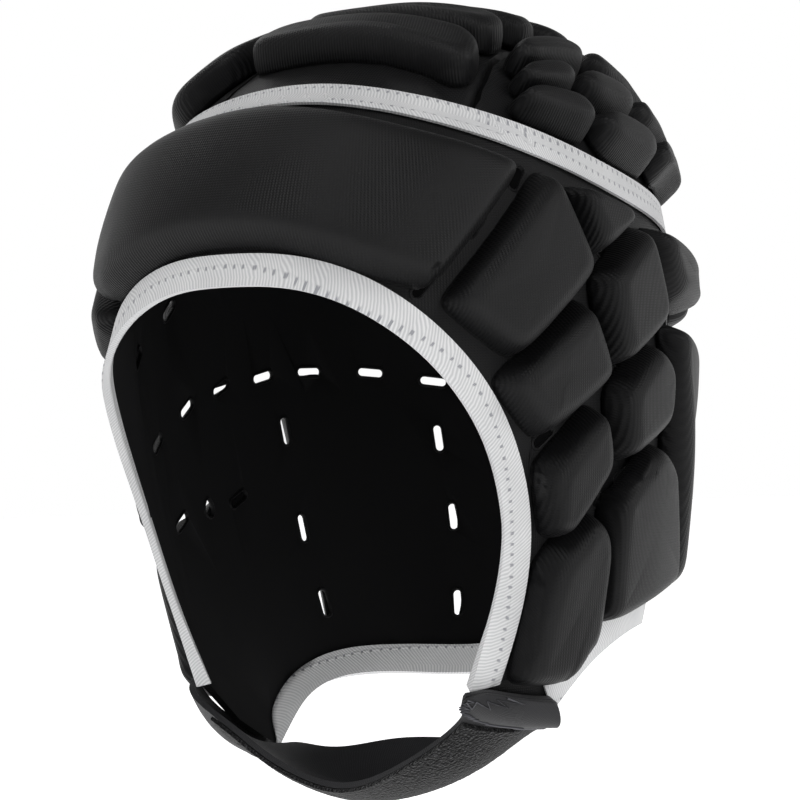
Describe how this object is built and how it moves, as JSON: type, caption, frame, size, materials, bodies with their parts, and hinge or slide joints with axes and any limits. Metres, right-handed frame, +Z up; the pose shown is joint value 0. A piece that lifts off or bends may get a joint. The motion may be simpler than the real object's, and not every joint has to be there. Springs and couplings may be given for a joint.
{
  "type": "rugby scrum cap",
  "caption": "Padded rugby scrum cap: foam pads on a thin vented shell, taped seams, open face and ears, and a cupped chin strap.",
  "frame": {"origin": "top of the wearer's head, on the inner face of the crown, in the middle of the head form", "axes": "+Z up; the wearer faces -Y; the wearer's left is +X"},
  "size_m": [0.1792, 0.2099, 0.255],
  "materials": {
    "pad_fabric": "fine stretch knit over foam, matt",
    "shell_fabric": "smooth laminated knit, matt",
    "trim_tape": "white twill tape, stitched",
    "strap_fabric": "smooth laminated webbing, overlocked edge",
    "loop_pile": "short fuzzy loop pile"
  },
  "bodies": {
    "root": {"side_shell": "shell_fabric", "crown_middle_panel": "shell_fabric", "crown_left_panel": "shell_fabric", "crown_right_panel": "shell_fabric", "pad_forehead": "pad_fabric", "pad_temple_left": "pad_fabric", "pad_upper_side_left": "pad_fabric", "pad_middle_side_left": "pad_fabric", "pad_upper_rear_left": "pad_fabric", "pad_upper_nape_left": "pad_fabric", "pad_front_ear_left": "pad_fabric", "pad_rear_ear_left": "pad_fabric", "pad_lower_ear_left": "pad_fabric", "pad_rear_side_left": "pad_fabric", "pad_cheek_left": "pad_fabric", "pad_rear_left": "pad_fabric", "pad_nape_left": "pad_fabric", "pad_temple_right": "pad_fabric", "pad_upper_side_right": "pad_fabric", "pad_middle_side_right": "pad_fabric", "pad_upper_rear_right": "pad_fabric", "pad_upper_nape_right": "pad_fabric", "pad_front_ear_right": "pad_fabric", "pad_rear_ear_right": "pad_fabric", "pad_lower_ear_right": "pad_fabric", "pad_rear_side_right": "pad_fabric", "pad_cheek_right": "pad_fabric", "pad_rear_right": "pad_fabric", "pad_nape_right": "pad_fabric", "crown_bar_front": "pad_fabric", "crown_bar_top_front": "pad_fabric", "crown_bar_top_back": "pad_fabric", "crown_bar_upper_back": "pad_fabric", "crown_bar_back": "pad_fabric", "crown_bar_lower_back": "pad_fabric", "crown_bar_low_back": "pad_fabric", "crown_pad_outer_front_left": "pad_fabric", "crown_pad_middle_front_left": "pad_fabric", "crown_pad_inner_front_left": "pad_fabric", "crown_pad_outer_middle_left": "pad_fabric", "crown_pad_outer_back_left": "pad_fabric", "crown_pad_middle_middle_left": "pad_fabric", "crown_pad_middle_back_left": "pad_fabric", "crown_pad_inner_back_left": "pad_fabric", "crown_pad_front_right": "pad_fabric", "crown_pad_inner_middle_right": "pad_fabric", "crown_pad_outer_middle_right": "pad_fabric", "crown_pad_outer_back_right": "pad_fabric", "crown_pad_middle_middle_right": "pad_fabric", "crown_pad_middle_back_right": "pad_fabric", "crown_pad_inner_back_right": "pad_fabric", "crown_tape": "trim_tape", "face_binding": "trim_tape", "neck_binding_left": "trim_tape", "neck_binding_right": "trim_tape", "chin_strap": "strap_fabric", "strap_tab_left": "strap_fabric", "fastening_patch": "loop_pile"}
  },
  "joints": []
}
